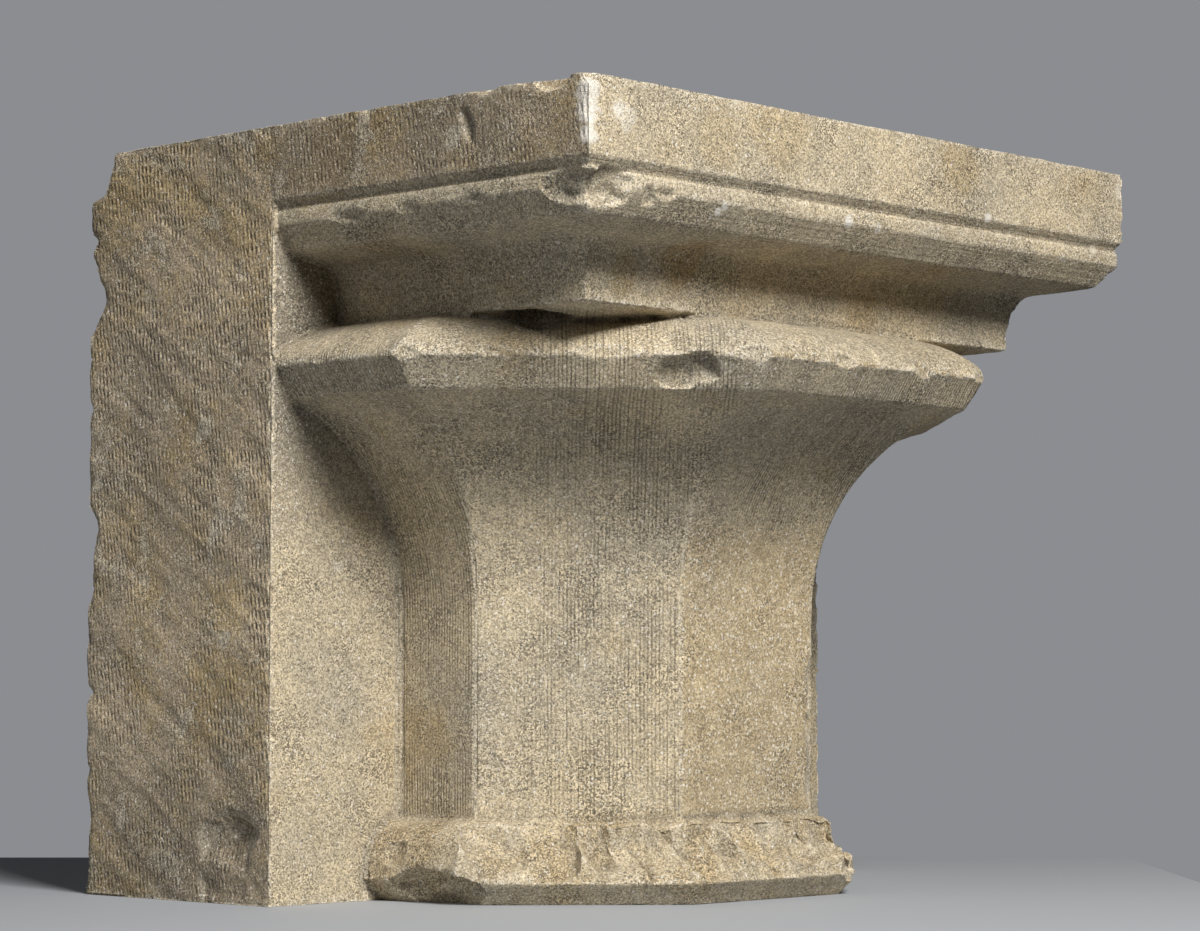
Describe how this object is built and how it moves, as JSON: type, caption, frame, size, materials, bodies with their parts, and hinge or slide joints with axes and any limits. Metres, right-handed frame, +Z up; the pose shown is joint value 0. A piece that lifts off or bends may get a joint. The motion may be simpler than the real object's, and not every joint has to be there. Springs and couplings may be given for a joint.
{
  "type": "engaged column capital",
  "caption": "Carved stone block with a half-octagonal flared bell, ring mouldings and a square moulded slab, projecting from a plain wall block.",
  "frame": {"origin": "middle of the bounding box on the ground, under the foot ring and the wall block", "axes": "+X along the wall to the right as seen from the front, +Y back into the wall, +Z up"},
  "size_m": [0.44, 0.375, 0.4],
  "materials": {
    "stone": "rough, tooled and weathered limestone"
  },
  "bodies": {
    "root": {"engaged_capital": "stone"}
  },
  "joints": []
}
